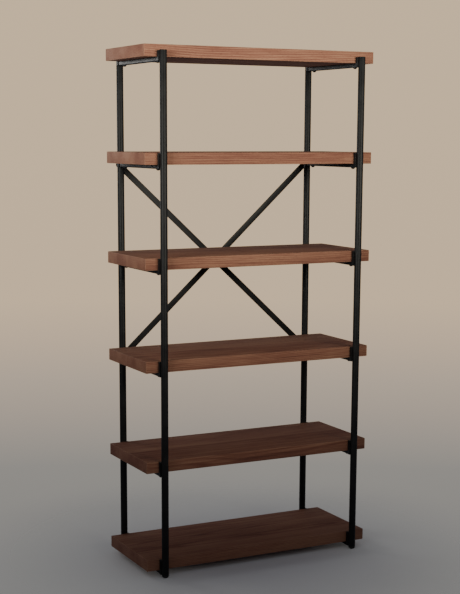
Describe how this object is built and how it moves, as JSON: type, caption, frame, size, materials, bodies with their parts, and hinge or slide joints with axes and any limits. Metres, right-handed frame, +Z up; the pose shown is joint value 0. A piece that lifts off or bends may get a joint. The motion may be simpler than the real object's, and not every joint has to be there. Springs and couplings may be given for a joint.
{
  "type": "bookcase with adjustable shelves",
  "caption": "Tall open bookcase: thick walnut boards on cross rails between round black steel posts, a crossed brace behind, and boards that slide up or down the posts",
  "frame": {"origin": "under the middle of the overall box, at floor level", "axes": "+X to the right along the boards, -Y to the front, +Z up"},
  "size_m": [0.9, 0.417, 1.845],
  "materials": {
    "walnut": "open-grained walnut with a satin oil finish",
    "black_steel": "satin black powder coat",
    "black_zinc": "blackened zinc, semi-gloss",
    "black_rubber": "matt black"
  },
  "bodies": {
    "frame": {"post_front_left": "black_steel", "foot_front_left": "black_rubber", "post_rear_left": "black_steel", "foot_rear_left": "black_rubber", "post_front_right": "black_steel", "foot_front_right": "black_rubber", "post_rear_right": "black_steel", "foot_rear_right": "black_rubber", "shelf_1_board": "walnut", "shelf_1_rail_left": "black_steel", "shelf_1_bolt_front_left": "black_zinc", "shelf_1_bolt_rear_left": "black_zinc", "shelf_1_rail_right": "black_steel", "shelf_1_bolt_front_right": "black_zinc", "shelf_1_bolt_rear_right": "black_zinc", "shelf_6_board": "walnut", "shelf_6_rail_left": "black_steel", "shelf_6_bolt_front_left": "black_zinc", "shelf_6_bolt_rear_left": "black_zinc", "shelf_6_rail_right": "black_steel", "shelf_6_bolt_front_right": "black_zinc", "shelf_6_bolt_rear_right": "black_zinc", "brace_bar_falling": "black_steel", "brace_bar_rising": "black_steel", "brace_rivet": "black_zinc", "brace_bolt_low_left": "black_zinc", "brace_bolt_high_left": "black_zinc", "brace_bolt_low_right": "black_zinc", "brace_bolt_high_right": "black_zinc"},
    "adjustable_shelf_2": {"shelf_2_board": "walnut", "shelf_2_rail_left": "black_steel", "shelf_2_bolt_front_left": "black_zinc", "shelf_2_bolt_rear_left": "black_zinc", "shelf_2_rail_right": "black_steel", "shelf_2_bolt_front_right": "black_zinc", "shelf_2_bolt_rear_right": "black_zinc"},
    "adjustable_shelf_3": {"shelf_3_board": "walnut", "shelf_3_rail_left": "black_steel", "shelf_3_bolt_front_left": "black_zinc", "shelf_3_bolt_rear_left": "black_zinc", "shelf_3_rail_right": "black_steel", "shelf_3_bolt_front_right": "black_zinc", "shelf_3_bolt_rear_right": "black_zinc"},
    "adjustable_shelf_4": {"shelf_4_board": "walnut", "shelf_4_rail_left": "black_steel", "shelf_4_bolt_front_left": "black_zinc", "shelf_4_bolt_rear_left": "black_zinc", "shelf_4_rail_right": "black_steel", "shelf_4_bolt_front_right": "black_zinc", "shelf_4_bolt_rear_right": "black_zinc"},
    "adjustable_shelf_5": {"shelf_5_board": "walnut", "shelf_5_rail_left": "black_steel", "shelf_5_bolt_front_left": "black_zinc", "shelf_5_bolt_rear_left": "black_zinc", "shelf_5_rail_right": "black_steel", "shelf_5_bolt_front_right": "black_zinc", "shelf_5_bolt_rear_right": "black_zinc"}
  },
  "joints": [
    {"name": "shelf_2_height", "type": "slide", "parent": "frame", "child": "adjustable_shelf_2", "axis": [0, 0, 1], "range_m": [-0.125, 0.125]},
    {"name": "shelf_3_height", "type": "slide", "parent": "frame", "child": "adjustable_shelf_3", "axis": [0, 0, 1], "range_m": [-0.125, 0.125]},
    {"name": "shelf_4_height", "type": "slide", "parent": "frame", "child": "adjustable_shelf_4", "axis": [0, 0, 1], "range_m": [-0.125, 0.125]},
    {"name": "shelf_5_height", "type": "slide", "parent": "frame", "child": "adjustable_shelf_5", "axis": [0, 0, 1], "range_m": [-0.125, 0.125]}
  ]
}
